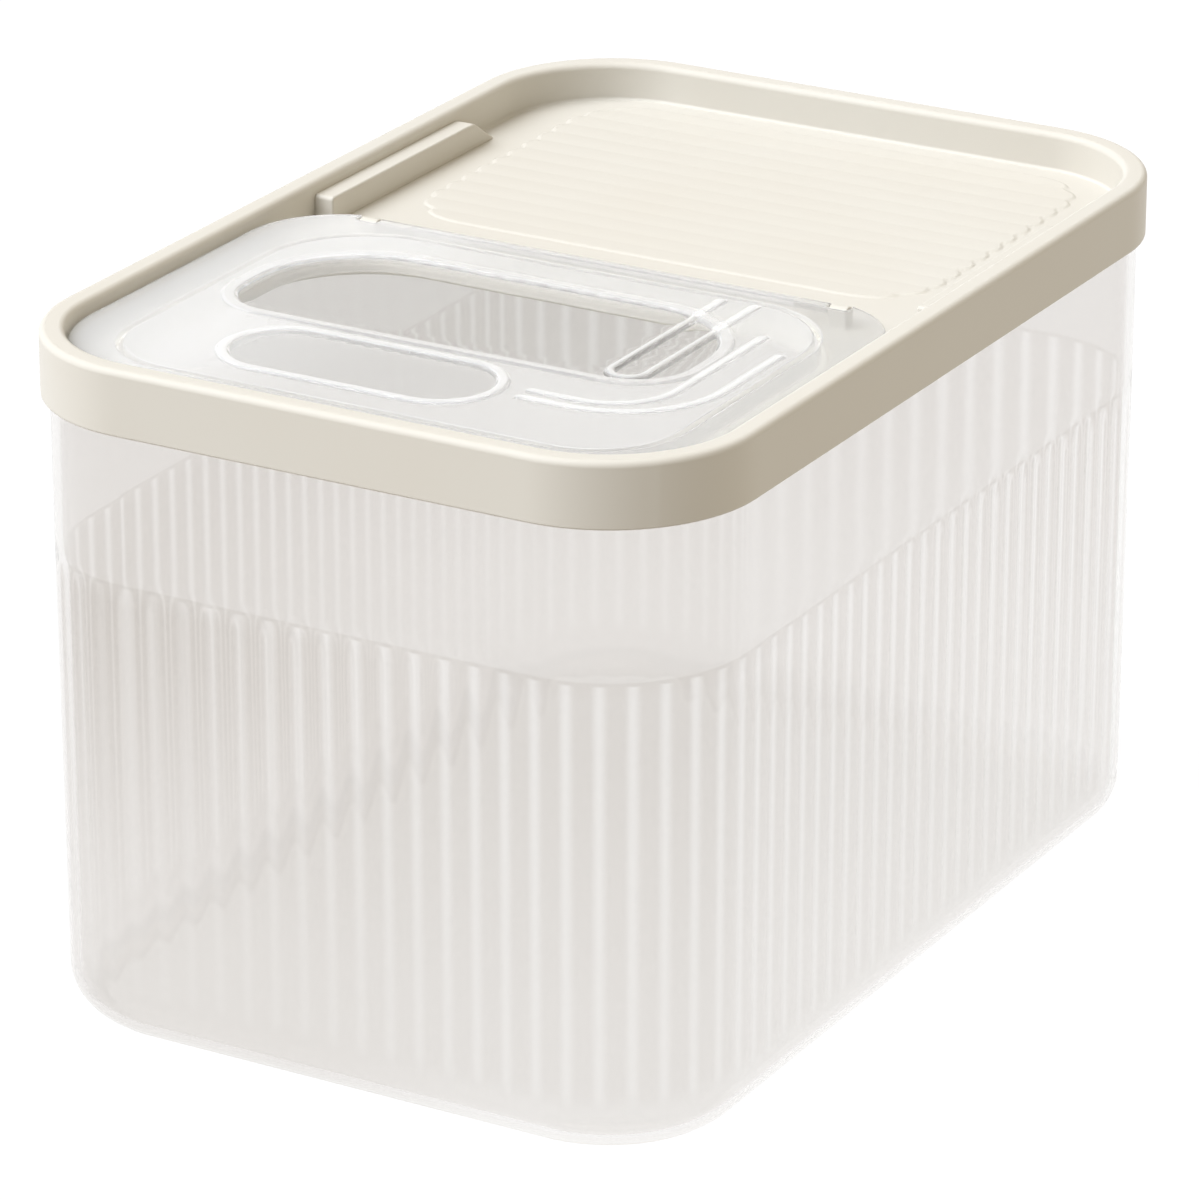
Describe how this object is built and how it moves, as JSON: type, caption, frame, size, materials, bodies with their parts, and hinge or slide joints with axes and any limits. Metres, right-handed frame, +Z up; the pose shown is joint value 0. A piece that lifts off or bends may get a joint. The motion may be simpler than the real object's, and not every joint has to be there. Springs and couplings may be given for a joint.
{
  "type": "pet food storage bin",
  "caption": "Clear rectangular storage bin with fluted walls and a cream lift-off lid that has a ribbed rear deck and a clear hinged flip lid over its pouring opening.",
  "frame": {"origin": "centre of the base, on the surface that the bin stands on", "axes": "+Z up, +Y towards the rear deck along the length, +X to the right seen from the flip lid's end"},
  "size_m": [0.226, 0.33, 0.212],
  "materials": {
    "clear_bin": "clear moulded plastic, polished outside, fluted inside",
    "cream_lid": "cream moulded polypropylene with a fine satin surface",
    "clear_flip_lid": "clear moulded plastic with a polished window",
    "silicone": "translucent white silicone",
    "hinge_pins": "white acetal rod"
  },
  "bodies": {
    "bin": {"bin_body": "clear_bin"},
    "lid": {"lid_frame": "cream_lid", "lid_seal": "silicone", "hinge_pin_left": "hinge_pins", "hinge_pin_right": "hinge_pins"},
    "flip": {"flip_lid": "clear_flip_lid", "flip_seal": "silicone"}
  },
  "joints": [
    {"name": "lid_lift", "type": "slide", "parent": "bin", "child": "lid", "axis": [0, 0, 1], "range_m": [0, 0.12]},
    {"name": "flip_hinge", "type": "hinge", "parent": "lid", "child": "flip", "pos_m": [0, -0.006, 0.2055], "axis": [-1, 0, 0], "range_deg": [0, 105]}
  ]
}
